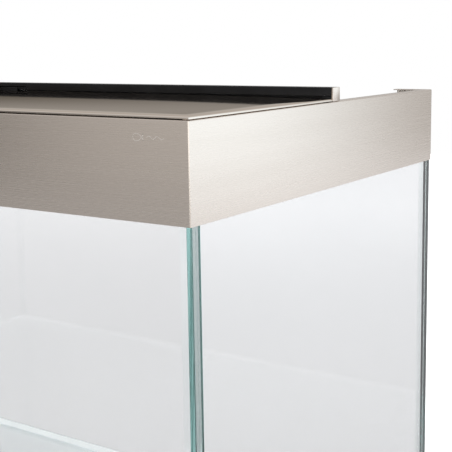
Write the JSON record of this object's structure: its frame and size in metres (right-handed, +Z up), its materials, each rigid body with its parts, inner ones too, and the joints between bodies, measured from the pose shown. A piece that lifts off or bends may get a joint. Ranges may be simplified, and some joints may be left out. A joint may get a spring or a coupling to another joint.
{
  "type": "aquarium on stand",
  "caption": "Long glass aquarium with a brushed steel hood, hinged front lid and black crossbar, on a two-door cabinet stand with push latches.",
  "frame": {"origin": "on the floor, under the middle of the object's bounding box", "axes": "+Z up, +X along the tank to its right end seen from the front, front faces -Y"},
  "size_m": [1.2, 0.5, 1.3056],
  "materials": {
    "brushed_steel": "fine horizontal brushing with a warm satin sheen",
    "black_aluminium": "satin black anodised",
    "hinge_steel": "satin",
    "clear_glass": "clear float glass with green polished edges",
    "clear_silicone": "clear silicone",
    "white_foam": "closed-cell foam sheet",
    "cabinet_wood": "satin lacquered veneer",
    "plinth_steel": "satin brushed sheet",
    "opal_lens": "opal diffuser",
    "black_rubber": "matt",
    "grey_plastic": "moulded"
  },
  "bodies": {
    "tank_and_stand": {"hood_band": "brushed_steel", "hood_front_ledge": "brushed_steel", "hood_left_ledge": "brushed_steel", "hood_right_ledge": "brushed_steel", "crossbar_left_end_plate": "brushed_steel", "crossbar_right_end_plate": "brushed_steel", "crossbar": "black_aluminium", "crossbar_left_foot": "black_aluminium", "crossbar_right_foot": "black_aluminium", "lid_hinge_left_fixed_leaf": "black_aluminium", "lid_hinge_right_fixed_leaf": "black_aluminium", "lid_hinge_left_pin": "hinge_steel", "lid_hinge_right_pin": "hinge_steel", "left_door_lower_hinge_frame_leaf": "hinge_steel", "left_door_lower_hinge_pin": "hinge_steel", "left_door_upper_hinge_frame_leaf": "hinge_steel", "left_door_upper_hinge_pin": "hinge_steel", "right_door_lower_hinge_frame_leaf": "hinge_steel", "right_door_lower_hinge_pin": "hinge_steel", "right_door_upper_hinge_frame_leaf": "hinge_steel", "right_door_upper_hinge_pin": "hinge_steel", "tank_floor_pane": "clear_glass", "tank_front_pane": "clear_glass", "tank_rear_pane": "clear_glass", "tank_left_pane": "clear_glass", "tank_right_pane": "clear_glass", "tank_front_brace": "clear_glass", "tank_rear_brace": "clear_glass", "tank_silicone_seams": "clear_silicone", "tank_safety_mat": "white_foam", "stand_top_board": "cabinet_wood", "stand_bottom_board": "cabinet_wood", "stand_left_panel": "cabinet_wood", "stand_right_panel": "cabinet_wood", "stand_divider": "cabinet_wood", "stand_back_panel": "cabinet_wood", "stand_shelf": "cabinet_wood", "plinth_front_board": "plinth_steel", "plinth_rear_board": "plinth_steel", "plinth_left_board": "plinth_steel", "plinth_right_board": "plinth_steel", "light_strip": "opal_lens", "light_cable_gland": "black_rubber", "lid_left_bumper": "black_rubber", "lid_right_bumper": "black_rubber", "left_latch_body": "grey_plastic", "right_latch_body": "grey_plastic"},
    "lid": {"front_lid": "brushed_steel", "lid_hinge_left_moving_leaf": "black_aluminium", "lid_hinge_right_moving_leaf": "black_aluminium"},
    "left_door_leaf": {"left_door": "cabinet_wood", "left_door_strike": "hinge_steel", "left_door_lower_hinge_door_leaf": "hinge_steel", "left_door_upper_hinge_door_leaf": "hinge_steel"},
    "left_plunger": {"left_latch_plunger": "black_rubber"},
    "right_door_leaf": {"right_door": "cabinet_wood", "right_door_strike": "hinge_steel", "right_door_lower_hinge_door_leaf": "hinge_steel", "right_door_upper_hinge_door_leaf": "hinge_steel"},
    "right_plunger": {"right_latch_plunger": "black_rubber"}
  },
  "joints": [
    {"name": "lid_hinge", "type": "hinge", "parent": "tank_and_stand", "child": "lid", "pos_m": [0, -0.0049, 1.2992], "axis": [-1, 0, 0], "range_deg": [0, 90]},
    {"name": "left_door_hinge", "type": "hinge", "parent": "tank_and_stand", "child": "left_door_leaf", "pos_m": [-0.5702, -0.2448, 0.37], "axis": [0, 0, -1], "range_deg": [0, 110]},
    {"name": "right_door_hinge", "type": "hinge", "parent": "tank_and_stand", "child": "right_door_leaf", "pos_m": [0.5702, -0.2448, 0.37], "axis": [0, 0, 1], "range_deg": [0, 110]},
    {"name": "left_latch_push", "type": "slide", "parent": "tank_and_stand", "child": "left_plunger", "axis": [0, 1, 0], "range_m": [0, 0.003], "stiffness_N_per_m": 400},
    {"name": "right_latch_push", "type": "slide", "parent": "tank_and_stand", "child": "right_plunger", "axis": [0, 1, 0], "range_m": [0, 0.003], "stiffness_N_per_m": 400}
  ]
}
